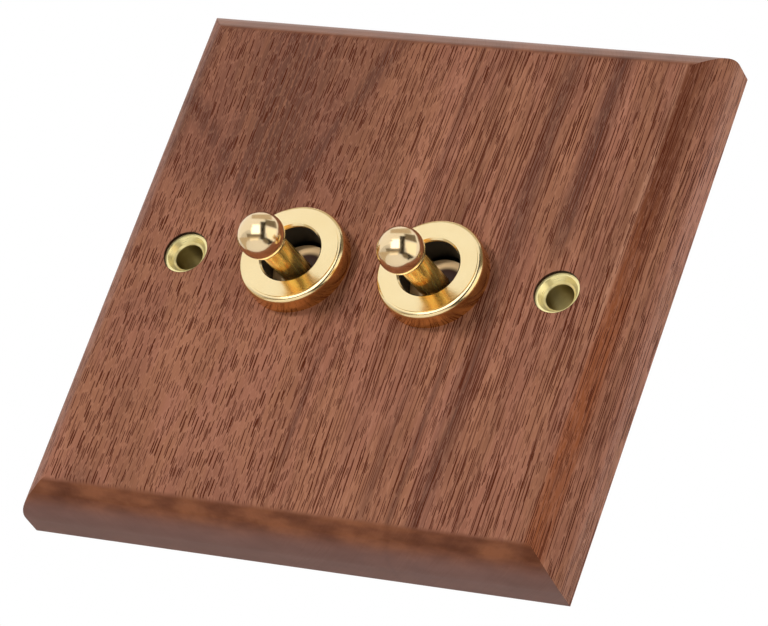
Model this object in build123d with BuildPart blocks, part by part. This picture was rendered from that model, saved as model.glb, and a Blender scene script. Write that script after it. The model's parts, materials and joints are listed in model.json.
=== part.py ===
from build123d import *
import os
from math import asin, cos, degrees, radians, sin, sqrt, tan

os.makedirs("parts", exist_ok=True)

# Two-gang toggle light switch on a square wooden plate, in millimetres.
# The origin is the middle of the plate's back. +X is right and +Z up for someone facing the plate,
# and the front faces -Y. A height is the distance from the wall plane towards the front.

# Plate
plate_side = 86.0
plate_depth = 10.0
edge_radius = 5.6
edge_slope = 38.0
edge_bevel_run = 1.8
arris_round = 2.2
back_edge_round = 0.5
pocket_depth = 5.0

# Wall fixings
fixing_pitch = 60.3
eyelet_diameter = 6.8
eyelet_bore = 4.25
eyelet_sink = 0.5
eyelet_rim = 0.4
eyelet_lip = 0.3
eyelet_cone_depth = 0.8
eyelet_lip_drop = 0.2

# Backing plate and its screws
backing_thickness = 1.2
backing_side_margin = 1.8
backing_end_margin = 5.0
backing_corner = 3.0
wood_screw_diameter = 2.8
wood_screw_depth = 3.5
wood_screw_inset = 5.0
earth_screw_diameter = 3.5
small_head_diameter = 4.4
small_head_height = 1.4

# Ring nut
ring_wall = 1.05
ring_height = 3.3
ring_hole = 9.2
ring_lip = 0.6
ring_hole_bevel = 0.25
ring_shoulder = 0.75
ring_step = 0.15

# Threaded bush
gang_pitch = 22.4
module_width = 19.0
module_height = 30.0
module_corner = 1.5
flange_thickness = 1.5
neck_diameter = 14.0
neck_wall = 1.0

# Lever and the moulded dolly that carries it
ball_diameter = 6.9
ball_height = 12.0
stem_diameter = 4.3
stem_end = 1.2
lever_tilt = 7.0
dome_sink = 0.4
dome_thickness = 1.2
hub_wall = 1.25
hub_depth = 1.6
trunnion_diameter = 2.4
trunnion_seat = 1.5
arm_wall = 0.95
arm_end = 7.5
spring_seat = 0.6

# Plunger and spring
plunger_diameter = 3.4
plunger_back = 4.6
tip_reach = 9.6
guide_length = 1.2
spring_wire = 0.4
spring_turns = 5

# See-saw contact
rocker_tilt = 6.5
rocker_rise = 1.8
rocker_bend = 3.45
rocker_width = 5.0
rocker_boss = 2.0
strip = 0.8
contact_reach = 6.0
contact_diameter = 2.4
contact_thickness = 0.7

# Terminals
terminal_width = 6.0
terminal_leg_rise = 4.5
terminal_screw_inset = 3.0
terminal_tab_end = 2.6
fixed_contact_margin = 0.3
common_leg_reach = 3.2
common_tab_half = 4.0
terminal_screw_diameter = 2.9
terminal_head_diameter = 5.4
terminal_head_height = 1.6
terminal_screw_depth = 2.0
driver_slot_width = 0.8
driver_slot_depth = 0.8

# Housing and base
front_wall = 3.5
side_wall = 2.7
end_wall = 4.0
cavity_corner = 1.0
base_thickness = 3.0
barrier_height = 4.2
barrier_thickness = 1.4
base_screw_diameter = 2.0
base_screw_inset = 2.0
base_head_diameter = 3.6
base_head_height = 1.2

# Clearances
seat_gap = 0.02
running_gap = 0.05
bush_gap = 0.2
pocket_gap = 0.5
dome_gap = 0.36
rim_gap = 0.25
trunnion_cover = 0.1
lip_gap = 0.1
rocker_gap = 0.1
contact_gap = 0.05
spring_gap = 0.25
guide_gap = 0.3
slot_gap = 0.1
leg_gap = 1.1
screw_hole_gap = 0.15

# Sizes that follow from those above
edge_turn = 90.0 - edge_slope
edge_drop = edge_radius * sin(radians(edge_turn)) + edge_bevel_run * tan(radians(edge_slope))
edge_wall = plate_depth - edge_drop
edge_inset = edge_radius * (1.0 - cos(radians(edge_turn))) + edge_bevel_run
ring_diameter = neck_diameter + 2 * (running_gap + ring_wall)
ring_top = plate_depth + ring_height
neck_top = ring_top - ring_lip - lip_gap
flange_front = pocket_depth - backing_thickness
flange_back = flange_front - flange_thickness
pivot_height = flange_back - trunnion_cover - trunnion_diameter / 2
dome_radius = plate_depth - dome_sink - pivot_height
bore_radius = ring_hole / 2 - running_gap
chamber_radius = neck_diameter / 2 - neck_wall
trunnion_reach = chamber_radius + trunnion_seat
throat_height = pivot_height + sqrt((dome_radius + dome_gap) ** 2 - bore_radius**2)
dome_half_angle = degrees(asin((chamber_radius - rim_gap) / dome_radius)) - lever_tilt
lever_length = (plate_depth + ball_height - pivot_height) / cos(radians(lever_tilt))
hub_diameter = stem_diameter + 2 * hub_wall
spring_bore = plunger_diameter + 2 * running_gap
arm_diameter = spring_bore + 2 * arm_wall
spring_diameter = spring_bore - spring_wire - 2 * spring_gap
guide_diameter = spring_diameter - spring_wire - 2 * guide_gap
rocker_half_length = contact_reach + contact_diameter / 2
rocker_height = pivot_height - tip_reach - plunger_diameter / 2 - rocker_gap - rocker_rise
bend_center = rocker_rise + rocker_bend
bend_outer = rocker_bend + strip
closed_level = bend_center * cos(radians(rocker_tilt)) - bend_outer
contact_run = (contact_reach - bend_outer * sin(radians(rocker_tilt))) / cos(radians(rocker_tilt))
fixed_reach = bend_center * sin(radians(rocker_tilt)) + contact_run
fixed_top = rocker_height + closed_level - contact_thickness - contact_gap
terminal_top = fixed_top - contact_thickness
base_front = terminal_top - strip - terminal_leg_rise
base_back = base_front - base_thickness
backing_width = gang_pitch + module_width + 2 * backing_side_margin
backing_height = module_height + 2 * backing_end_margin
pocket_corner = backing_corner + pocket_gap
backing_screw_x = backing_width / 2 - wood_screw_inset
backing_screw_z = module_height / 2 + backing_end_margin / 2
base_screw_x = module_width / 2 - base_screw_inset
base_screw_z = module_height / 2 - base_screw_inset
cavity_width = module_width - 2 * side_wall
cavity_height = module_height - 2 * end_wall
terminal_leg_reach = cavity_height / 2 - leg_gap - strip
terminal_screw_reach = module_height / 2 - terminal_screw_inset
barrier_reach = terminal_screw_reach / 2
terminal_spots = [(0, terminal_screw_reach), (0, 0), (0, -terminal_screw_reach)]


def facing(x, height):
    # Plane parallel to the wall that looks to the front, with local Y up
    return Plane(origin=(x, -height, 0), x_dir=(1, 0, 0), z_dir=(0, -1, 0))


def upright(x, height=0.0, tilt=0.0):
    # Plane through an axis that runs to the front and leans down, with local X to the right
    lean = radians(tilt)
    return Plane(origin=(x, -height, 0), x_dir=(1, 0, 0), z_dir=(0, sin(lean), -cos(lean)))


def side_on(x, height=0.0, tilt=0.0, up=1):
    # Plane across X with local Y to the front, and local X up or down
    lean = radians(tilt)
    return Plane(origin=(x, -height, 0), x_dir=(0, sin(lean), up * cos(lean)), z_dir=(up, 0, 0))


def axis_of(plane):
    return Axis(plane.origin, plane.y_dir)


def save(piece, name):
    piece.label = name
    export_step(piece, f"parts/{name}.step")


# Wooden plate: one edge section run both ways, so that the corners meet in mitres
half_side = plate_side / 2
with BuildPart() as wood_plate:
    for section_plane, section_mode in ((upright(0), Mode.ADD), (side_on(0), Mode.INTERSECT)):
        with BuildSketch(section_plane) as section:
            with BuildLine():
                Line((half_side, 0), (half_side, edge_wall))
                round_over = CenterArc((half_side - edge_radius, edge_wall), edge_radius, 0, edge_turn)
                Line(round_over @ 1, (half_side - edge_inset, plate_depth))
                mirror(about=Plane.YZ)
                Line((edge_inset - half_side, plate_depth), (half_side - edge_inset, plate_depth))
                Line((-half_side, 0), (half_side, 0))
            make_face()
            fillet(section.vertices().group_by(Axis.Y)[-1], radius=arris_round)
            fillet(section.vertices().group_by(Axis.Y)[0], radius=back_edge_round)
        extrude(amount=half_side, both=True, mode=section_mode)
    with BuildSketch(facing(0, 0)):
        RectangleRounded(backing_width + 2 * pocket_gap, backing_height + 2 * pocket_gap, pocket_corner)
    extrude(amount=pocket_depth, mode=Mode.SUBTRACT)
    with BuildSketch(facing(0, 0)):
        with GridLocations(gang_pitch, 0, 2, 1):
            Circle(neck_diameter / 2 + bush_gap)
        with GridLocations(fixing_pitch, 0, 2, 1):
            Circle(eyelet_diameter / 2 + seat_gap)
    extrude(amount=plate_depth, mode=Mode.SUBTRACT)
    with BuildSketch(facing(0, pocket_depth)):
        with GridLocations(2 * backing_screw_x, 2 * backing_screw_z, 2, 2):
            Circle(wood_screw_diameter / 2 + seat_gap)
        with Locations((0, -backing_screw_z)):
            Circle(earth_screw_diameter / 2 + screw_hole_gap)
    extrude(amount=wood_screw_depth, mode=Mode.SUBTRACT)
save(wood_plate.part, "wood_plate")

# Brass eyelets of the wall fixings: a sunk rim, a cone for the screw head and a small inner lip
rim_height = plate_depth - eyelet_sink
for side, x in (("left", -fixing_pitch / 2), ("right", fixing_pitch / 2)):
    with BuildPart() as eyelet:
        with BuildSketch(upright(x)):
            with BuildLine():
                Polyline(
                    (eyelet_bore / 2, 0),
                    (eyelet_diameter / 2, 0),
                    (eyelet_diameter / 2, rim_height),
                    (eyelet_diameter / 2 - eyelet_rim, rim_height),
                    (eyelet_bore / 2 + eyelet_lip, rim_height - eyelet_cone_depth),
                    (eyelet_bore / 2, rim_height - eyelet_cone_depth - eyelet_lip_drop),
                    close=True,
                )
            make_face()
        revolve(axis=axis_of(upright(x)))
    save(eyelet.part, f"{side}_eyelet")

# Steel backing plate in the pocket
with BuildPart() as backing_plate:
    with BuildSketch(facing(0, flange_front)):
        RectangleRounded(backing_width, backing_height, backing_corner)
        with GridLocations(gang_pitch, 0, 2, 1):
            Circle(neck_diameter / 2 + bush_gap, mode=Mode.SUBTRACT)
        with GridLocations(2 * backing_screw_x, 2 * backing_screw_z, 2, 2):
            Circle(wood_screw_diameter / 2 + screw_hole_gap, mode=Mode.SUBTRACT)
        with Locations((0, -backing_screw_z)):
            Circle(earth_screw_diameter / 2 + seat_gap, mode=Mode.SUBTRACT)
    extrude(amount=backing_thickness)
save(backing_plate.part, "backing_plate")

# Wood screws that hold the backing plate, heads to the back
with BuildPart() as backing_screws:
    with BuildSketch(facing(0, flange_front)):
        with GridLocations(2 * backing_screw_x, 2 * backing_screw_z, 2, 2):
            Circle(small_head_diameter / 2)
    extrude(amount=-small_head_height)
    head_rims = backing_screws.edges().group_by(Axis.Y)[-1]
    fillet(head_rims, radius=small_head_height / 3)
    with BuildSketch(facing(0, flange_front)):
        with GridLocations(2 * backing_screw_x, 2 * backing_screw_z, 2, 2):
            Circle(wood_screw_diameter / 2)
    extrude(amount=backing_thickness + wood_screw_depth - screw_hole_gap)
    with BuildSketch(facing(0, flange_front - small_head_height)):
        with GridLocations(2 * backing_screw_x, 2 * backing_screw_z, 2, 2):
            Rectangle(small_head_diameter, driver_slot_width)
    extrude(amount=driver_slot_depth, mode=Mode.SUBTRACT)
save(backing_screws.part, "backing_screws")

# Earth screw in the backing plate
with BuildPart() as earth_screw:
    with BuildSketch(facing(0, flange_front)):
        with Locations((0, -backing_screw_z)):
            Circle(small_head_diameter / 2)
    extrude(amount=-small_head_height)
    head_rim = earth_screw.edges().group_by(Axis.Y)[-1]
    fillet(head_rim, radius=small_head_height / 3)
    with BuildSketch(facing(0, flange_front)):
        with Locations((0, -backing_screw_z)):
            Circle(earth_screw_diameter / 2)
    extrude(amount=backing_thickness + wood_screw_depth / 2)
    with BuildSketch(facing(0, flange_front - small_head_height)):
        with Locations((0, -backing_screw_z)):
            Rectangle(small_head_diameter, driver_slot_width)
            Rectangle(driver_slot_width, small_head_diameter)
    extrude(amount=driver_slot_depth, mode=Mode.SUBTRACT)
save(earth_screw.part, "earth_screw")

for side, x in (("left", -gang_pitch / 2), ("right", gang_pitch / 2)):
    lever_plane = upright(x, pivot_height, lever_tilt)
    rocker_plane = side_on(x, rocker_height, rocker_tilt)

    # Ring nut: a flat top, a fine step and a rounded shoulder, hollow below for the bush
    step_radius = ring_diameter / 2 - ring_shoulder
    with BuildPart() as ring_nut:
        with BuildSketch(upright(x)):
            with BuildLine():
                top = Polyline(
                    (ring_hole / 2, ring_top - ring_lip),
                    (ring_hole / 2, ring_top - ring_hole_bevel),
                    (ring_hole / 2 + ring_hole_bevel, ring_top),
                    (step_radius, ring_top),
                    (step_radius, ring_top - ring_step),
                )
                shoulder_center = (step_radius, ring_top - ring_step - ring_shoulder)
                shoulder = CenterArc(shoulder_center, ring_shoulder, 0, 90)
                Polyline(
                    shoulder @ 0,
                    (ring_diameter / 2, plate_depth),
                    (neck_diameter / 2 + running_gap, plate_depth),
                    (neck_diameter / 2 + running_gap, ring_top - ring_lip),
                    top @ 0,
                )
            make_face()
        revolve(axis=axis_of(upright(x)))
    save(ring_nut.part, f"{side}_ring_nut")

    # Threaded bush with its flange behind the backing plate
    with BuildPart() as bush:
        with BuildSketch(facing(x, flange_back)):
            RectangleRounded(module_width, module_height, module_corner)
        extrude(amount=flange_thickness)
        with BuildSketch(facing(x, flange_front)):
            Circle(neck_diameter / 2)
        extrude(amount=neck_top - flange_front)
        with BuildSketch(facing(x, flange_back)):
            Circle(chamber_radius)
        extrude(amount=throat_height - flange_back, mode=Mode.SUBTRACT)
        with BuildSketch(facing(x, throat_height)):
            Circle(bore_radius)
        extrude(amount=neck_top - throat_height, mode=Mode.SUBTRACT)
        with BuildSketch(facing(x, flange_back)):
            with GridLocations(2 * base_screw_x, 2 * base_screw_z, 2, 2):
                Circle(base_screw_diameter / 2 + seat_gap)
        extrude(amount=flange_thickness, mode=Mode.SUBTRACT)
    save(bush.part, f"{side}_bush")

    # Brass lever: ball and stem turned in one piece
    with BuildPart() as lever:
        with BuildSketch(lever_plane):
            with Locations((0, lever_length)):
                Circle(ball_diameter / 2)
            with Locations((0, stem_end)):
                Rectangle(stem_diameter, lever_length - stem_end, align=(Align.CENTER, Align.MIN))
            with Locations((0, 0)):
                Rectangle(ball_diameter, 4 * lever_length, align=(Align.MAX, Align.CENTER), mode=Mode.SUBTRACT)
        revolve(axis=axis_of(lever_plane))
    save(lever.part, f"{side}_lever")

    # Dolly: a dome that closes the bush, a hub with trunnions and an arm for the plunger
    dome_inner = dome_radius - dome_thickness
    with BuildPart() as dolly:
        with BuildSketch(lever_plane):
            with BuildLine():
                outer = CenterArc((0, 0), dome_radius, 90 - dome_half_angle, dome_half_angle)
                inner = CenterArc((0, 0), dome_inner, 90 - dome_half_angle, dome_half_angle)
                Line(outer @ 0, inner @ 0)
                Line(outer @ 1, inner @ 1)
            make_face()
            with Locations((0, -hub_depth)):
                Rectangle(hub_diameter / 2, hub_depth + dome_inner, align=(Align.MIN, Align.MIN))
            with Locations((0, -arm_end)):
                Rectangle(arm_diameter / 2, arm_end, align=(Align.MIN, Align.MIN))
        revolve(axis=axis_of(lever_plane))
        with BuildSketch(side_on(x, pivot_height)):
            Circle(trunnion_diameter / 2)
        extrude(amount=trunnion_reach, both=True)
        with BuildSketch(lever_plane):
            with Locations((0, stem_end - seat_gap)):
                Rectangle(stem_diameter / 2 + seat_gap, dome_radius, align=(Align.MIN, Align.MIN))
            with Locations((0, -spring_seat)):
                Rectangle(spring_bore / 2, arm_end, align=(Align.MIN, Align.MAX))
        revolve(axis=axis_of(lever_plane), mode=Mode.SUBTRACT)
    save(dolly.part, f"{side}_dolly")

    # Plunger with a round tip, in the dolly's arm
    with BuildPart() as plunger:
        with BuildSketch(lever_plane):
            with Locations((0, -tip_reach)):
                Circle(plunger_diameter / 2)
                Rectangle(plunger_diameter, tip_reach - plunger_back, align=(Align.CENTER, Align.MIN))
            with Locations((0, -plunger_back)):
                Rectangle(guide_diameter, guide_length, align=(Align.CENTER, Align.MIN))
            with Locations((0, 0)):
                Rectangle(plunger_diameter, 4 * tip_reach, align=(Align.MAX, Align.CENTER), mode=Mode.SUBTRACT)
        revolve(axis=axis_of(lever_plane))
    save(plunger.part, f"{side}_plunger")

    # Spring behind the plunger
    spring_length = plunger_back - spring_seat - spring_wire - 2 * seat_gap
    lever_axis = axis_of(lever_plane)
    spring_start = lever_axis.position - lever_axis.direction * (plunger_back - spring_wire / 2 - seat_gap)
    with BuildPart() as spring:
        with BuildLine() as coil:
            Helix(
                spring_length / spring_turns,
                spring_length,
                spring_diameter / 2,
                center=spring_start,
                direction=lever_axis.direction,
            )
        with BuildSketch(Plane(origin=coil.line @ 0, z_dir=coil.line % 0)):
            Circle(spring_wire / 2)
        sweep(path=coil.line, is_frenet=True)
    save(spring.part, f"{side}_spring")

    # See-saw contact: a shallow V with a half-round boss on its pivot
    arm_run = (rocker_half_length - rocker_bend * sin(radians(rocker_tilt))) / cos(radians(rocker_tilt))
    arm_step = Vector(arm_run * cos(radians(rocker_tilt)), arm_run * sin(radians(rocker_tilt)))
    with BuildPart() as rocker:
        with BuildSketch(rocker_plane):
            with BuildLine():
                upper = CenterArc((0, bend_center), rocker_bend, 270, rocker_tilt)
                lower = CenterArc((0, bend_center), bend_outer, 270, rocker_tilt)
                Polyline(upper @ 1, upper @ 1 + arm_step, lower @ 1 + arm_step, lower @ 1)
                mirror(about=Plane.YZ)
            make_face()
            with Locations((0, 0)):
                Circle(rocker_boss / 2)
                Rectangle(rocker_boss, rocker_rise - strip / 2, align=(Align.CENTER, Align.MIN))
        extrude(amount=rocker_width / 2, both=True)
    save(rocker.part, f"{side}_rocker")

    # Silver buttons on the underside of the see-saw's two arms
    with BuildPart() as rocker_contacts:
        for hand in (1, -1):
            turn = radians(rocker_tilt)
            button_u = hand * (bend_outer * sin(turn) + contact_run * cos(turn))
            button_w = bend_center - bend_outer * cos(turn) + contact_run * sin(turn)
            button_spot = rocker_plane.from_local_coords((button_u, button_w, 0))
            button_way = rocker_plane.from_local_coords((hand * sin(turn), -cos(turn), 0)) - rocker_plane.origin
            with BuildSketch(Plane(origin=button_spot, x_dir=(1, 0, 0), z_dir=button_way)):
                Circle(contact_diameter / 2)
            extrude(amount=contact_thickness)
    save(rocker_contacts.part, f"{side}_rocker_contacts")

    # Terminals of the two ways: an arm under the see-saw, a leg through the base and a tab on its back
    leg_far = terminal_leg_reach + strip
    arm_near = fixed_reach - contact_diameter / 2 - fixed_contact_margin
    tab_far = terminal_screw_reach + terminal_tab_end
    for way, up in (("upper", 1), ("lower", -1)):
        with BuildPart() as terminal:
            with BuildSketch(side_on(x, 0, 0, up)) as section:
                with BuildLine():
                    Polyline(
                        (arm_near, terminal_top),
                        (leg_far, terminal_top),
                        (leg_far, base_back),
                        (tab_far, base_back),
                        (tab_far, base_back - strip),
                        (terminal_leg_reach, base_back - strip),
                        (terminal_leg_reach, terminal_top - strip),
                        (arm_near, terminal_top - strip),
                        close=True,
                    )
                make_face()
            extrude(amount=terminal_width / 2, both=True)
            with BuildSketch(facing(x, base_back)):
                with Locations((0, up * terminal_screw_reach)):
                    Circle(terminal_screw_diameter / 2 + seat_gap)
            extrude(amount=-strip, mode=Mode.SUBTRACT)
        save(terminal.part, f"{side}_{way}_terminal")

    # Common terminal: a post with the see-saw's cradle, a leg through the base and a tab on its back
    common_far = common_leg_reach + strip
    with BuildPart() as common_terminal:
        with BuildSketch(upright(x)):
            with BuildLine():
                Polyline(
                    (-rocker_width / 2, rocker_height),
                    (rocker_width / 2, rocker_height),
                    (rocker_width / 2, base_front + strip),
                    (common_far, base_front + strip),
                    (common_far, base_back - strip),
                    (-common_tab_half, base_back - strip),
                    (-common_tab_half, base_back),
                    (common_leg_reach, base_back),
                    (common_leg_reach, base_front),
                    (-rocker_width / 2, base_front),
                    close=True,
                )
            make_face()
        extrude(amount=terminal_width / 2, both=True)
        with BuildSketch(side_on(x, rocker_height)):
            Circle(rocker_boss / 2 + running_gap)
        extrude(amount=rocker_width, both=True, mode=Mode.SUBTRACT)
        with BuildSketch(facing(x, base_back)):
            Circle(terminal_screw_diameter / 2 + seat_gap)
        extrude(amount=-strip, mode=Mode.SUBTRACT)
    save(common_terminal.part, f"{side}_common_terminal")

    # Fixed silver buttons on the two terminal arms
    with BuildPart() as fixed_contacts:
        with BuildSketch(facing(x, terminal_top)):
            with GridLocations(0, 2 * fixed_reach, 1, 2):
                Circle(contact_diameter / 2)
        extrude(amount=contact_thickness)
    save(fixed_contacts.part, f"{side}_fixed_contacts")

    # Binding screws of the three terminals
    with BuildPart() as terminal_screws:
        with BuildSketch(facing(x, base_back - strip)):
            with Locations(*terminal_spots):
                Circle(terminal_head_diameter / 2)
        extrude(amount=-terminal_head_height)
        terminal_rims = terminal_screws.edges().group_by(Axis.Y)[-1]
        fillet(terminal_rims, radius=terminal_head_height / 3)
        with BuildSketch(facing(x, base_back - strip)):
            with Locations(*terminal_spots):
                Circle(terminal_screw_diameter / 2)
        extrude(amount=strip + terminal_screw_depth)
        with BuildSketch(facing(x, base_back - strip - terminal_head_height)):
            with Locations(*terminal_spots):
                Rectangle(terminal_head_diameter, driver_slot_width)
        extrude(amount=driver_slot_depth, mode=Mode.SUBTRACT)
    save(terminal_screws.part, f"{side}_terminal_screws")

    # Housing: walls round the contacts, and a front wall with notches for the trunnions
    with BuildPart() as housing:
        with BuildSketch(facing(x, base_front)):
            RectangleRounded(module_width, module_height, module_corner)
        extrude(amount=flange_back - base_front)
        with BuildSketch(facing(x, base_front)):
            RectangleRounded(cavity_width, cavity_height, cavity_corner)
        extrude(amount=flange_back - front_wall - base_front, mode=Mode.SUBTRACT)
        with BuildSketch(facing(x, flange_back)):
            Circle(chamber_radius)
        extrude(amount=-front_wall, mode=Mode.SUBTRACT)
        with BuildSketch(side_on(x, pivot_height)):
            Circle(trunnion_diameter / 2 + running_gap)
            Rectangle(
                trunnion_diameter + 2 * running_gap,
                flange_back - pivot_height,
                align=(Align.CENTER, Align.MIN),
            )
        extrude(amount=trunnion_reach + slot_gap, both=True, mode=Mode.SUBTRACT)
        with BuildSketch(facing(x, base_front)):
            with GridLocations(2 * base_screw_x, 2 * base_screw_z, 2, 2):
                Circle(base_screw_diameter / 2 + screw_hole_gap)
        extrude(amount=flange_back - base_front, mode=Mode.SUBTRACT)
    save(housing.part, f"{side}_housing")

    # Base: closes the housing, passes the terminal legs and keeps the screws apart with two barriers
    leg_slot = strip + 2 * slot_gap
    with BuildPart() as base:
        with BuildSketch(facing(x, base_back)):
            RectangleRounded(module_width, module_height, module_corner)
        extrude(amount=base_thickness)
        with BuildSketch(facing(x, base_back)):
            with GridLocations(0, 2 * barrier_reach, 1, 2):
                Rectangle(module_width, barrier_thickness)
        extrude(amount=-barrier_height)
        with BuildSketch(facing(x, base_back)):
            with GridLocations(0, 2 * (terminal_leg_reach + strip / 2), 1, 2):
                Rectangle(terminal_width + 2 * slot_gap, leg_slot)
            with Locations((common_leg_reach + strip / 2, 0)):
                Rectangle(leg_slot, terminal_width + 2 * slot_gap)
            with GridLocations(2 * base_screw_x, 2 * base_screw_z, 2, 2):
                Circle(base_screw_diameter / 2 + screw_hole_gap)
        extrude(amount=base_thickness, mode=Mode.SUBTRACT)
        with BuildSketch(facing(x, base_back)):
            with Locations(*terminal_spots):
                Circle(terminal_screw_diameter / 2 + screw_hole_gap)
        extrude(amount=terminal_screw_depth + slot_gap, mode=Mode.SUBTRACT)
    save(base.part, f"{side}_base")

    # Long screws from the back of the base to the bush's flange
    with BuildPart() as base_screws:
        with BuildSketch(facing(x, base_back)):
            with GridLocations(2 * base_screw_x, 2 * base_screw_z, 2, 2):
                Circle(base_head_diameter / 2)
        extrude(amount=-base_head_height)
        base_rims = base_screws.edges().group_by(Axis.Y)[-1]
        fillet(base_rims, radius=base_head_height / 3)
        with BuildSketch(facing(x, base_back)):
            with GridLocations(2 * base_screw_x, 2 * base_screw_z, 2, 2):
                Circle(base_screw_diameter / 2)
        extrude(amount=flange_front - base_back - slot_gap)
        with BuildSketch(facing(x, base_back - base_head_height)):
            with GridLocations(2 * base_screw_x, 2 * base_screw_z, 2, 2):
                Rectangle(base_head_diameter, driver_slot_width)
        extrude(amount=driver_slot_depth, mode=Mode.SUBTRACT)
    save(base_screws.part, f"{side}_base_screws")
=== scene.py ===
import json
import math

import bpy
from mathutils import Matrix, Vector


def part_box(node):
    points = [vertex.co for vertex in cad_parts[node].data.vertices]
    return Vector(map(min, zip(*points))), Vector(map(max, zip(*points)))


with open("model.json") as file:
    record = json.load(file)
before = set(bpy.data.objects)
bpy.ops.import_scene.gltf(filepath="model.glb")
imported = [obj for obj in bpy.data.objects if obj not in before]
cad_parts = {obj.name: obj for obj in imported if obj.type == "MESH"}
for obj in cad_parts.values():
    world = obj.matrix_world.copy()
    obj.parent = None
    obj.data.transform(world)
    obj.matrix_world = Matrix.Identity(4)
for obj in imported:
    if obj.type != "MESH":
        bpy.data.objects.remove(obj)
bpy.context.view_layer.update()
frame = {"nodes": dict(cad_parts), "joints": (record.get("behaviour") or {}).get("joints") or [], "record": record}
scene = bpy.context.scene
scene.view_settings.view_transform = "Standard"

MM = 0.001


def box_mm(node):
    """Lowest and highest corner of a node, in millimetres."""
    return [[value / MM for value in corner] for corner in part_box(node)]


# From an eyelet's rim to its bore, which is painted dark as shade, and from the tip of a lever's ball to its stem,
# in millimetres
EYELET_CONE = 0.9
BALL_LENGTH = 6.15

# Places on the part, in millimetres
plate_low, plate_high = box_mm("wood_plate")
eyelet_low, eyelet_high = box_mm("right_eyelet")
lever_low, _ = box_mm("right_lever")
toggle = next(joint for joint in frame["joints"] if joint["name"] == "right_toggle_turn")
PLATE_FRONT = plate_low[1]
PLATE_REACH = plate_high[0]
FIXING_REACH = (eyelet_low[0] + eyelet_high[0]) / 2
FIXING_RADIUS = (eyelet_high[0] - eyelet_low[0]) / 2
EYELET_THROAT = eyelet_low[1] + EYELET_CONE
BALL_FOOT = lever_low[1] + BALL_LENGTH
GANG_REACH = toggle["pos_m"][0] / MM
PIVOT_Y = toggle["pos_m"][1] / MM
LEVER_TILT = math.radians(toggle["range_deg"][1] / 2)

# Camera, at the photograph's viewing angle: to the right of the plate and below it
CAMERA_AZIMUTH = math.radians(30.68)
CAMERA_ELEVATION = math.radians(-24.40)
CAMERA_ROLL = math.radians(20.15)
CAMERA_DISTANCE = 658.6 * MM
CAMERA_AIM = Vector((-0.92, 0.02, -1.08)) * MM
CAMERA_LENS = 213.7
CAMERA_NEAR = 10.0 * MM
SENSOR_WIDTH = 36.0

# Dark mineral streaks in the wood, and one broad band of painted shade over the top left: x at mid height, lean,
# half width, lowest and highest z, strength
DARK_STREAKS_AND_PAINTED_SHADE = (
    (-21.3, 0.33, 3.6, 3.0, 52.0, 0.8),
    (-13.0, -1.0, 5.5, 3.0, 34.0, 0.8),
    # Painted shade, not a streak: a broad band that darkens the top left of the face
    (-24.0, 0.0, 20.0, 6.0, 70.0, 0.8),
    (-39.0, 0.0, 2.5, 10.0, 44.0, 0.6),
    (20.9, -0.01, 3.0, -50.0, 60.0, 0.8),
    (28.2, 0.0, 3.0, 2.0, 60.0, 0.9),
    (13.2, 0.02, 1.1, -52.0, -8.0, 0.5),
    (17.0, 0.0, 0.8, -52.0, 6.0, 0.6),
    (-2.5, 0.0, 0.7, -36.0, -10.0, 0.7),
    (5.5, 0.0, 0.9, 2.0, 52.0, 0.5),
    (-33.5, 0.0, 5.0, -52.0, -31.0, 0.5),
)
STREAK_TAPER = 9.0

# Reddish stripe on the right slope: from the plate's edge to its middle, and from there to a pale line
STRIPE_INSET = 3.5
STRIPE_TO_LINE = 1.75

# Painted shadow of the lever on the dolly: from the lever's axis to the shadow's middle, to the right and down
LEVER_SHADOW_ASIDE = 1.3
LEVER_SHADOW_DROP = 1.4

# Floor, in metres: its height and half its side
FLOOR_HEIGHT = -0.62
FLOOR_HALF = 4.0

# Strength of the world's light on the object, and the share of plain white in the floor as it is seen
SKY_LIGHT = 0.35
FLOOR_WHITE = 0.55

# Sockets of a Mix node that carry colours
MIX_FIRST = 6
MIX_SECOND = 7
MIX_RESULT = 2


def srgb(red, green, blue):
    """Linear colour from display values of 0 to 255."""
    out = []
    for value in (red, green, blue):
        part = value / 255
        out.append(part / 12.92 if part <= 0.04045 else ((part + 0.055) / 1.055) ** 2.4)
    return (*out, 1.0)


def tint(red, green, blue):
    """Linear colour from linear values."""
    return (red, green, blue, 1.0)


WHITE = tint(1.0, 1.0, 1.0)


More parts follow.
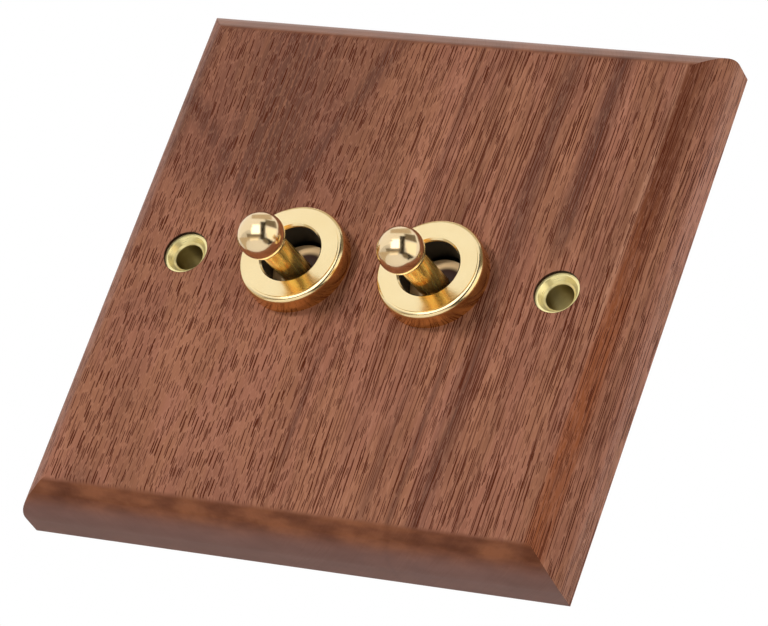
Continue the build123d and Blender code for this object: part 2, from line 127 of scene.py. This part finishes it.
class Graph:
    """Writes a node tree line by line. A value is a number, a colour or another node's output."""

    def __init__(self, tree, output):
        self.tree = tree
        self.tree.nodes.clear()
        self.out = self.node(output)

    def node(self, kind, **settings):
        made = self.tree.nodes.new(f"ShaderNode{kind}")
        for name, value in settings.items():
            setattr(made, name, value)
        return made

    def feed(self, socket, value):
        """Link a socket to another node's output, or set its own value."""
        if isinstance(value, bpy.types.NodeSocket):
            self.tree.links.new(value, socket)
        else:
            socket.default_value = value

    def fill(self, node, **values):
        """Feed inputs of a node by name, with _ for a space."""
        for name, value in values.items():
            self.feed(node.inputs[name.replace("_", " ")], value)

    def surface(self, shader):
        self.feed(self.out.inputs["Surface"], shader)

    def light(self, kind, colour, strength):
        """Even light from an Emission or a Background node."""
        node = self.node(kind)
        self.fill(node, Color=colour, Strength=strength)
        return node.outputs[0]

    def calc(self, operation, first, second=0.0):
        node = self.node("Math", operation=operation)
        self.feed(node.inputs[0], first)
        self.feed(node.inputs[1], second)
        return node.outputs[0]

    def chain(self, operation, terms):
        """One operation over several values, from left to right."""
        total = terms[0]
        for term in terms[1:]:
            total = self.calc(operation, total, term)
        return total

    def add(self, *terms):
        return self.chain("ADD", terms)

    def times(self, *terms):
        return self.chain("MULTIPLY", terms)

    def most(self, *terms):
        return self.chain("MAXIMUM", terms)

    def minus(self, first, second):
        return self.calc("SUBTRACT", first, second)

    def size(self, value):
        """A value without its sign."""
        return self.calc("ABSOLUTE", value)

    def length(self, first, second):
        """Length of a vector of two values."""
        return self.calc("SQRT", self.add(self.times(first, first), self.times(second, second)))

    def step(self, value, low, high, bottom=0.0, top=1.0):
        """Smooth change from bottom, where the value is low, to top, where it is high."""
        node = self.node("MapRange", interpolation_type="SMOOTHSTEP")
        for socket, number in zip(node.inputs, (value, low, high, bottom, top)):
            self.feed(socket, number)
        return node.outputs[0]

    def fade(self, value, low, high):
        """Smooth change from 1 to 0."""
        return self.step(value, low, high, bottom=1.0, top=0.0)

    def split(self, vector):
        node = self.node("SeparateXYZ")
        self.feed(node.inputs[0], vector)
        return tuple(node.outputs)

    def scaled(self, place, scales, shift):
        """Vector of a texture: each value times its scale, plus a shift that picks another pattern."""
        node = self.node("CombineXYZ")
        for socket, value, scale in zip(node.inputs, place, scales):
            self.feed(socket, self.add(self.times(value, scale), shift))
        return node.outputs[0]

    def noise(self, place, scales, detail=2.0, rough=0.5, shift=0.0):
        node = self.node("TexNoise")
        self.fill(node, Vector=self.scaled(place, scales, shift), Scale=1.0, Detail=detail, Roughness=rough)
        return node.outputs[0]

    def swing(self, place, scales, **settings):
        """Noise about zero."""
        return self.add(self.noise(place, scales, **settings), -0.5)

    def cells(self, place, scales, shift):
        """Squarish distance to the nearest of many points, and two chance values of that point."""
        node = self.node("TexVoronoi", voronoi_dimensions="2D", distance="MINKOWSKI")
        self.fill(node, Vector=self.scaled(place, scales, shift), Scale=1.0, Exponent=4.0, Randomness=1.0)
        chances = self.node("SeparateColor")
        self.feed(chances.inputs[0], node.outputs["Color"])
        return node.outputs["Distance"], chances.outputs[0], chances.outputs[1]

    def mix(self, share, first, second, blend="MIX"):
        node = self.node("Mix", data_type="RGBA", blend_type=blend)
        self.feed(node.inputs[0], share)
        self.feed(node.inputs[MIX_FIRST], first)
        self.feed(node.inputs[MIX_SECOND], second)
        return node.outputs[MIX_RESULT]

    def ramp(self, value, stops):
        node = self.node("ValToRGB")
        elements = node.color_ramp.elements
        elements[0].position, elements[0].color = stops[0]
        elements[1].position, elements[1].color = stops[-1]
        for position, colour in stops[1:-1]:
            elements.new(position).color = colour
        self.feed(node.inputs[0], value)
        return node.outputs[0]


class Shader(Graph):
    """The node tree of a new material with one Principled surface."""

    def __init__(self, name):
        self.material = bpy.data.materials.new(name)
        self.material.use_nodes = True
        super().__init__(self.material.node_tree, "OutputMaterial")
        self.bsdf = self.node("BsdfPrincipled")
        self.surface(self.bsdf.outputs[0])

    def base(self, **values):
        """Feed the surface's own sockets."""
        self.fill(self.bsdf, **values)

    def place(self):
        """Place on the part, as three values in millimetres."""
        scale = self.node("VectorMath", operation="SCALE")
        self.feed(scale.inputs[0], self.node("TexCoord").outputs["Object"])
        self.fill(scale, Scale=1 / MM)
        return self.split(scale.outputs[0])

    def normal(self):
        """Way that the surface faces, as three values."""
        return self.split(self.node("TexCoord").outputs["Normal"])

    def bump(self, height, strength, distance):
        node = self.node("Bump")
        self.fill(node, Height=height, Strength=strength, Distance=distance)
        self.base(Normal=node.outputs[0])


def walnut_figure(s, place, grained, rightward, fibre):
    """Browns of the wood: broad bands, streaks, fibres and clouds."""
    broad = s.swing(grained, (0.12, 0.12, 0.02), shift=3.1)
    streak = s.swing(grained, (0.7, 0.7, 0.014), detail=3.0, rough=0.55, shift=11.7)
    cloud = s.swing(place, (0.14, 0.14, 0.08), detail=3.0, shift=31.0)
    middle_tone = 0.475
    tone = s.add(
        middle_tone,
        s.times(broad, 0.35),
        s.times(streak, s.step(rightward, 0.0, 1.0, bottom=0.12, top=0.5)),
        s.times(fibre, 0.22),
        s.times(cloud, 0.3),
    )
    colour = s.ramp(tone, [
        (0.12, srgb(95, 60, 47)),
        (0.32, srgb(122, 79, 60)),
        (0.5, srgb(148, 98, 75)),
        (0.68, srgb(164, 111, 87)),
        (0.9, srgb(180, 129, 104)),
    ])

    # Slow drift between olive and violet browns
    drift = s.noise(grained, (0.22, 0.22, 0.06), shift=53.0)
    olive = s.mix(0.6, colour, tint(0.98, 0.98, 0.90), "MULTIPLY")
    violet = s.mix(0.6, colour, tint(0.97, 0.93, 1.0), "MULTIPLY")
    return s.mix(s.step(drift, 0.38, 0.62), olive, violet)


def walnut_streaks(s, colour, place, grained, sway):
    """Dark mineral streaks with ragged edges, and one broad band of painted shade over the top left."""
    x, _, z = place
    streaks = []
    for middle_x, lean, width, low, high, strength in DARK_STREAKS_AND_PAINTED_SHADE:
        line = s.add(middle_x, s.times(z, lean), s.times(sway, -0.35))
        band = s.fade(s.size(s.minus(x, line)), 0.0, width)
        ends = s.times(s.step(z, low, low + STREAK_TAPER), s.fade(z, high - STREAK_TAPER, high))
        streaks.append(s.times(band, ends, strength))
    edges = s.noise(grained, (1.2, 1.2, 0.03), detail=3.0, rough=0.6, shift=47.0)
    return s.mix(s.times(s.most(*streaks), s.step(edges, 0.22, 0.56)), colour, srgb(80, 49, 40))


def walnut_slope(s, colour, place, sway):
    """Reddish stripe on the right slope, darkened towards the top by painted shade, with a pale line along the
    arris.
    """
    x, _, z = place
    from_stripe = s.add(x, s.times(sway, -0.2), STRIPE_INSET - PLATE_REACH)
    stripe = s.fade(s.size(from_stripe), 0.8, 2.0)
    patchy = s.step(s.noise(place, (0.5, 0.5, 0.06), shift=61.0), 0.3, 0.5, bottom=0.55)
    # The stripe's reddish colour is the wood's; its darkening towards the top is painted shade
    stripe_with_painted_shade = s.mix(s.step(z, -12.0, 26.0), srgb(132, 72, 40), srgb(90, 45, 24))
    colour = s.mix(s.times(stripe, patchy, 0.85), colour, stripe_with_painted_shade)
    line = s.fade(s.size(s.add(from_stripe, STRIPE_TO_LINE)), 0.1, 0.6)
    return s.mix(s.times(line, s.step(z, -14.0, 2.0), patchy, 0.4), colour, srgb(188, 138, 110))


def walnut_ends(s, place, facing_z, end_way):
    """End grain: mottled and warm on the slopes, greyer on the sawn walls, and with a painted highlight that makes
    it paler where it faces up, along the top edge.
    """
    mottle = s.noise(place, (0.15, 0.4, 0.4), detail=3.0, shift=71.0)
    warm = s.ramp(mottle, [
        (0.34, srgb(84, 46, 29)),
        (0.5, srgb(108, 63, 41)),
        (0.64, srgb(130, 79, 52)),
    ])
    sawn = s.mix(mottle, srgb(116, 86, 79), srgb(137, 103, 95))
    colour = s.mix(s.step(end_way, 0.62, 1.0), warm, sawn)
    # Painted highlight: end grain that faces up is paler, as if lit from above
    return s.mix(s.step(facing_z, 0.3, 0.9, top=0.8), colour, srgb(178, 146, 132))


def walnut_pores(s, place, across, rightward):
    """Open pores and their pale rims: short dashes on the left that grow longer towards the right."""
    x, y, z = place
    outward = s.times(s.calc("SIGN", x), s.add(y, -PLATE_FRONT), 0.9)
    waver = s.times(s.swing(place, (0.8, 0.8, 0.3), detail=1.0, shift=79.0), 0.12)
    lane = s.add(across, outward, waver)
    crowd = s.step(s.noise(place, (0.35, 0.35, 0.14), shift=103.0), 0.3, 0.6, bottom=0.95, top=1.2)
    short = s.times(s.step(rightward, 0.1, 0.6, bottom=1.0, top=0.75), s.fade(rightward, 0.6, 0.9))
    middling = s.times(s.step(rightward, 0.05, 0.4), s.step(rightward, 0.6, 0.95, bottom=1.0, top=0.85))
    long = s.step(rightward, 0.5, 0.9)
    fine = 1.0

    # Layers: pores per millimetre across and along, half width as a share of a cell, pattern shift, share
    pores = []
    rims = []
    for scales, width, shift, share in (
        ((2.5, 0.19), 0.22, 83.0, short),
        ((2.5, 0.075), 0.21, 97.0, middling),
        ((2.4, 0.033), 0.20, 109.0, long),
        ((2.9, 0.2), 0.16, 127.0, fine),
    ):
        reach, size_chance, depth_chance = s.cells((lane, z), scales, shift)
        limit = s.times(s.step(size_chance, 0.0, 1.0, bottom=0.7, top=1.2), crowd, share, width)
        inside = s.minus(limit, reach)
        depth = s.step(depth_chance, 0.0, 1.0, bottom=0.6)
        pores.append(s.times(s.step(inside, -0.02, 0.04), depth))
        rims.append(s.times(s.step(inside, -0.14, -0.03), depth))
    return s.most(*pores), s.most(*rims)


def walnut():
    """Oiled walnut with its grain along Z."""
    s = Shader("walnut")
    place = s.place()
    x, y, z = place
    facing_x, _, facing_z = s.normal()
    end_way = s.size(facing_z)
    end_grain = s.step(end_way, 0.12, 0.55)
    sway = s.add(
        s.times(s.swing(place, (0.03, 0.05, 0.02), detail=1.0), 2.5),
        s.times(s.swing(place, (0.2, 0.2, 0.06), detail=1.0, shift=7.0), 0.25),
    )
    across = s.add(x, sway)
    grained = (across, y, z)
    rightward = s.step(x, -16.0, 14.0)
    fibre = s.swing(grained, (5.0, 5.0, 0.1), detail=3.0, rough=0.65, shift=23.0)

    colour = walnut_figure(s, place, grained, rightward, fibre)
    colour = walnut_streaks(s, colour, place, grained, sway)
    colour = walnut_slope(s, colour, place, sway)
    colour = s.mix(s.times(end_grain, 0.9), colour, walnut_ends(s, place, facing_z, end_way))

    # The long sides are a little warmer than the face
    warmer = s.mix(1.0, colour, tint(1.0, 0.98, 0.95), "MULTIPLY")
    colour = s.mix(s.step(s.size(facing_x), 0.3, 1.0, top=0.9), colour, warmer)

    # Pores show faintly on end grain
    pores, rims = walnut_pores(s, place, across, rightward)
    side_grain = s.step(end_grain, 0.0, 0.8, bottom=1.0, top=0.1)
    pores = s.times(pores, side_grain)
    colour = s.mix(s.times(rims, side_grain, 0.2), colour, srgb(192, 139, 113))
    colour = s.mix(s.times(pores, 0.95), colour, srgb(72, 22, 3))

    # Painted shade: the wood's wall round each fixing eyelet is darkened, as the shade inside the hole
    from_fixing = s.length(s.add(s.size(x), -FIXING_REACH), z)
    hole_painted_shade = s.fade(from_fixing, FIXING_RADIUS, FIXING_RADIUS + 0.12)
    colour = s.mix(hole_painted_shade, colour, srgb(38, 20, 13))

    rough = s.add(0.4, s.times(fibre, 0.16), s.times(pores, 0.12))
    s.base(Base_Color=colour, Roughness=rough, Specular_IOR_Level=0.06)
    s.bump(s.add(s.times(pores, -1.0), s.times(fibre, 0.3)), strength=0.6, distance=0.08 * MM)
    return s.material


def ring_brass():
    """Polished brass with faint straight lines, and a deeper gold round the wall that is a painted reflection of
    the brown wood.
    """
    s = Shader("ring_brass")
    place = s.place()
    _, facing_y, _ = s.normal()
    lines = s.noise(place, (0.35, 6.0, 9.0), detail=3.0, rough=0.6, shift=5.0)
    cloud = s.noise(place, (0.3, 0.3, 0.3), shift=19.0)
    # Painted reflection: the wall is tinted a deeper gold for the brown wood it mirrors; it is also a little
    # rougher
    wall = s.fade(s.size(facing_y), 0.2, 0.8)
    face_tint = s.mix(cloud, tint(0.90, 0.70, 0.37), tint(0.94, 0.77, 0.45))
    s.base(
        Base_Color=s.mix(wall, face_tint, tint(0.90, 0.62, 0.26)),
        Metallic=1.0,
        Roughness=s.add(0.12, s.times(lines, 0.1), s.times(wall, 0.04)),
    )
    s.bump(lines, strength=0.1, distance=0.03 * MM)
    return s.material


def lever_brass():
    """Brass lever: a polished ball on a stem that is left as turned, with fine lengthwise streaks."""
    s = Shader("lever_brass")
    place = s.place()
    _, y, _ = place
    stem = s.step(y, BALL_FOOT - 0.15, BALL_FOOT + 0.15)
    streaks = s.noise(place, (2.2, 0.1, 2.2), shift=5.0)
    cloud = s.noise(place, (0.5, 0.5, 0.5), shift=19.0)
    ball_tint = s.mix(cloud, tint(0.84, 0.63, 0.36), tint(0.90, 0.71, 0.44))
    stem_tint = s.mix(s.step(streaks, 0.34, 0.64), tint(1.0, 0.50, 0.10), tint(1.0, 0.70, 0.20))
    s.base(
        Base_Color=s.mix(stem, ball_tint, stem_tint),
        Metallic=s.step(stem, 0.0, 1.0, bottom=1.0, top=0.9),
        Roughness=s.add(0.15, s.times(stem, 0.1), s.times(streaks, 0.04)),
    )
    s.bump(streaks, strength=0.06, distance=0.03 * MM)
    return s.material


def eyelet_brass():
    """Plain yellow brass, bright on the rim, and painted dark and dull in the bore as the shade inside it."""
    s = Shader("eyelet_brass")
    place = s.place()
    _, y, _ = place
    cloud = s.noise(place, (0.8, 0.8, 0.8), detail=3.0, rough=0.55, shift=13.0)
    turning = s.noise(place, (0.5, 14.0, 0.5), rough=0.6, shift=2.0)
    bright = s.mix(cloud, tint(0.93, 0.77, 0.33), tint(0.98, 0.86, 0.44))
    # Painted shade: the bore is darker, duller and less metallic than the rim
    dull = s.mix(cloud, tint(0.30, 0.23, 0.07), tint(0.44, 0.35, 0.13))
    inside = s.step(y, EYELET_THROAT - 0.1, EYELET_THROAT + 0.5)
    s.base(
        Base_Color=s.mix(inside, bright, dull),
        Metallic=s.step(inside, 0.0, 1.0, bottom=0.6),
        Roughness=s.add(0.24, s.times(turning, 0.1), s.times(inside, 0.15)),
    )
    s.bump(turning, strength=0.08, distance=0.03 * MM)
    return s.material


def plain_metal(name, dull, bright, roughness, grain):
    """Plated or stamped metal with a fine grain."""
    s = Shader(name)
    place = s.place()
    lines = s.noise(place, grain, detail=3.0, rough=0.6, shift=2.0)
    cloud = s.noise(place, (0.4, 0.4, 0.4), detail=3.0, rough=0.55, shift=13.0)
    s.base(
        Base_Color=s.mix(cloud, dull, bright),
        Metallic=1.0,
        Roughness=s.add(roughness, s.times(lines, 0.12)),
    )
    s.bump(lines, strength=0.1, distance=0.02 * MM)
    return s.material


def finish_resin(s, place, colour, roughness):
    """Fine sparked texture of moulded resin."""
    grain = s.noise(place, (5.0, 5.0, 5.0), detail=3.0, rough=0.6, shift=9.0)
    s.base(
        Base_Color=colour,
        Roughness=s.add(roughness, s.times(grain, 0.15)),
        Specular_IOR_Level=0.4,
    )
    s.bump(grain, strength=0.25, distance=0.03 * MM)
    return s.material


def black_resin():
    """Black moulded resin, slightly clouded."""
    s = Shader("black_moulding")
    place = s.place()
    cloud = s.noise(place, (0.25, 0.25, 0.25), shift=29.0)
    return finish_resin(s, place, s.mix(cloud, srgb(17, 16, 16), srgb(27, 25, 24)), roughness=0.42)


def dolly_resin():
    """Pale resin, with a painted shadow of the lever in dark brown beside its root."""
    s = Shader("pale_moulding")
    place = s.place()
    x, y, z = place
    cloud = s.noise(place, (0.6, 0.6, 0.6), shift=29.0)
    pale = s.mix(cloud, srgb(228, 190, 138), srgb(242, 208, 158))
    # Painted shadow: dark brown near a point beside the lever's root, fading to pale between 2.3 and 3.3 mm from
    # it
    aside = s.add(x, s.times(s.calc("SIGN", x), -GANG_REACH), -LEVER_SHADOW_ASIDE)
    upward = s.add(z, s.times(s.add(y, -PIVOT_Y), math.tan(LEVER_TILT)), LEVER_SHADOW_DROP)
    clear = s.step(s.length(aside, upward), 2.3, 3.3)
    return finish_resin(s, place, s.mix(clear, srgb(52, 30, 20), pale), roughness=0.45)


# Materials by the record's slots; the levers have their own finish
materials = {
    "walnut": walnut(),
    "brass": ring_brass(),
    "eyelet_brass": eyelet_brass(),
    "zinc_steel": plain_metal(
        "zinc_steel",
        dull=tint(0.50, 0.51, 0.53),
        bright=tint(0.68, 0.69, 0.71),
        roughness=0.28,
        grain=(0.3, 4.0, 6.0),
    ),
    "black_moulding": black_resin(),
    "pale_moulding": dolly_resin(),
    "terminal_brass": plain_metal(
        "terminal_brass",
        dull=tint(0.66, 0.45, 0.18),
        bright=tint(0.78, 0.58, 0.27),
        roughness=0.26,
        grain=(0.4, 5.0, 5.0),
    ),
    "silver": plain_metal(
        "silver",
        dull=tint(0.72, 0.70, 0.66),
        bright=tint(0.86, 0.85, 0.82),
        roughness=0.22,
        grain=(4.0, 4.0, 4.0),
    ),
    "spring_steel": plain_metal(
        "spring_steel",
        dull=tint(0.42, 0.42, 0.43),
        bright=tint(0.58, 0.58, 0.59),
        roughness=0.2,
        grain=(6.0, 6.0, 6.0),
    ),
}
for row in frame["record"]["subparts"]:
    node = frame["nodes"][row["node"]]
    node.data.materials.clear()
    node.data.materials.append(materials[row["material_slot"]])
levers = lever_brass()
for side in ("left", "right"):
    frame["nodes"][f"{side}_lever"].data.materials[0] = levers

# Camera axes from its angles, then the camera
camera_back = Vector((
    math.sin(CAMERA_AZIMUTH) * math.cos(CAMERA_ELEVATION),
    -math.cos(CAMERA_AZIMUTH) * math.cos(CAMERA_ELEVATION),
    math.sin(CAMERA_ELEVATION),
))
level_right = Vector((math.cos(CAMERA_AZIMUTH), math.sin(CAMERA_AZIMUTH), 0.0))
level_up = camera_back.cross(level_right)
camera_right = level_right * math.cos(CAMERA_ROLL) + level_up * math.sin(CAMERA_ROLL)
camera_up = camera_back.cross(camera_right)
camera_data = bpy.data.cameras.new("camera")
camera_data.sensor_width = SENSOR_WIDTH
camera_data.sensor_fit = "HORIZONTAL"
camera_data.lens = CAMERA_LENS
camera_data.clip_start = CAMERA_NEAR
camera = bpy.data.objects.new("camera", camera_data)
turn = Matrix((camera_right, camera_up, camera_back)).transposed()
camera.matrix_world = Matrix.Translation(CAMERA_AIM + camera_back * CAMERA_DISTANCE) @ turn.to_4x4()
scene.collection.objects.link(camera)
scene.camera = camera


def toward(across, upward):
    """Direction that the balls mirror at a place on their face, in ball radii from their middle."""
    depth = math.sqrt(1.0 - across * across - upward * upward)
    way = camera_right * (2 * depth * across) + camera_up * (2 * depth * upward)
    return (way + camera_back * (2 * depth * depth - 1.0)).normalized()


def glow(name, colour, strength=1.0):
    """Material of a card: even light of one colour."""
    material = bpy.data.materials.new(name)
    material.use_nodes = True
    graph = Graph(material.node_tree, "OutputMaterial")
    graph.surface(graph.light("Emission", colour, strength))
    return material


def between(first, second, share):
    return [a + (b - a) * share for a, b in zip(first, second)]


def card(name, corners, distance, material):
    """A studio card that shows in reflections only, with its corners where a ball mirrors them."""
    top_left, top_right, low_right, low_left = corners
    steps = 8
    points = []
    for row in range(steps + 1):
        left = between(top_left, low_left, row / steps)
        right = between(top_right, low_right, row / steps)
        for column in range(steps + 1):
            points.append(toward(*between(left, right, column / steps)) * distance)
    faces = []
    for row in range(steps):
        for column in range(steps):
            first = row * (steps + 1) + column
            faces.append((first, first + 1, first + steps + 2, first + steps + 1))
    mesh = bpy.data.meshes.new(name)
    mesh.from_pydata(points, [], faces)
    mesh.materials.append(material)
    piece = bpy.data.objects.new(name, mesh)
    scene.collection.objects.link(piece)
    piece.visible_camera = False
    piece.visible_diffuse = False
    piece.visible_transmission = False
    piece.visible_shadow = False


# Cards, with distances in metres: a nearer one covers those behind it
black = glow("card_black", tint(0.02, 0.016, 0.012))
dim = glow("card_dim", tint(0.20, 0.17, 0.13))
white = glow("card_white", WHITE, strength=2.2)
cream = glow("card_cream", tint(1.0, 0.95, 0.84), strength=1.3)
beige = glow("card_beige", tint(0.60, 0.51, 0.40))
card("key_card", [(-0.38, 0.44), (-0.05, 0.44), (-0.05, 0.07), (-0.40, 0.07)], 0.8, white)
card("right_card", [(0.18, 0.33), (0.62, 0.27), (0.58, -0.24), (0.24, -0.10)], 0.8, cream)
card("low_card", [(-0.46, -0.12), (-0.12, -0.10), (-0.12, -0.34), (-0.34, -0.36)], 0.8, cream)
card("low_back_card", [(-0.92, -0.06), (-0.10, -0.04), (0.05, -0.90), (-0.45, -0.86)], 0.9, beige)
card("gap_upright", [(-0.04, 0.56), (0.17, 0.56), (0.14, -0.10), (-0.03, -0.10)], 0.9, black)
card("gap_level", [(-0.60, 0.08), (0.02, 0.07), (0.02, -0.06), (-0.56, -0.09)], 0.9, dim)
card("gap_corner", [(-0.08, -0.08), (0.26, -0.08), (0.52, -0.28), (0.0, -0.52)], 0.95, black)
card("corner_card", [(0.06, -0.14), (0.20, -0.13), (0.32, -0.28), (0.08, -0.38)], 0.85, dim)
card("gap_high", [(0.14, 0.66), (0.56, 0.60), (0.64, 0.30), (0.16, 0.42)], 0.95, dim)
card("tent_top", [(-0.42, 0.84), (0.36, 0.88), (0.42, 0.66), (-0.40, 0.68)], 1.0, beige)


def lamp(name, way, distance, width, power):
    """A square lamp that faces the part and shows in no reflection."""
    data = bpy.data.lights.new(name, "AREA")
    data.shape = "SQUARE"
    data.size = width
    data.energy = power
    piece = bpy.data.objects.new(name, data)
    piece.location = way.normalized() * distance
    piece.rotation_euler = way.to_track_quat("Z", "Y").to_euler()
    piece.visible_camera = False
    piece.visible_glossy = False
    scene.collection.objects.link(piece)


lamp("key", Vector((-0.46, -0.875, 0.145)), distance=0.9, width=0.16, power=4.8)
lamp("fill", Vector((0.9, -0.36, 0.1)), distance=1.0, width=0.6, power=4.8)
lamp("back", Vector((0.3, 0.85, 0.5)), distance=1.0, width=0.6, power=6.0)


def pick_seen(graph, behind, seen, share=1.0):
    """Mix two shaders: a share of the second where the camera, a reflection or glass sees it."""
    path = graph.node("LightPath")
    rays = [path.outputs[f"Is {way} Ray"] for way in ("Camera", "Glossy", "Transmission")]
    pick = graph.node("MixShader")
    for socket, value in zip(pick.inputs, (graph.times(graph.most(*rays), share), behind, seen)):
        graph.feed(socket, value)
    return pick.outputs[0]


# World: white behind the object and in its reflections, softer as light
world = bpy.data.worlds.new("studio")
scene.world = world
world.use_nodes = True
sky = Graph(world.node_tree, "OutputWorld")
soft_light = sky.light("Background", WHITE, SKY_LIGHT)
sky.surface(pick_seen(sky, soft_light, sky.light("Background", WHITE, 1.0)))

# Pale floor, well below the plate because the camera looks up at it
floor_mesh = bpy.data.meshes.new("floor")
signs = ((-1, -1), (1, -1), (1, 1), (-1, 1))
floor_corners = [(a * FLOOR_HALF, b * FLOOR_HALF, FLOOR_HEIGHT) for a, b in signs]
floor_mesh.from_pydata(floor_corners, [], [(0, 1, 2, 3)])
floor = bpy.data.objects.new("floor", floor_mesh)
paint = Shader("floor_paint")
cloud = paint.noise(paint.place(), (0.004, 0.004, 0.004), detail=3.0)
paint.base(Base_Color=paint.mix(cloud, tint(0.86, 0.86, 0.86), tint(0.9, 0.9, 0.9)), Roughness=0.8)
plain_white = paint.light("Emission", WHITE, 1.0)
paint.surface(pick_seen(paint, paint.bsdf.outputs[0], plain_white, FLOOR_WHITE))
floor_mesh.materials.append(paint.material)
scene.collection.objects.link(floor)
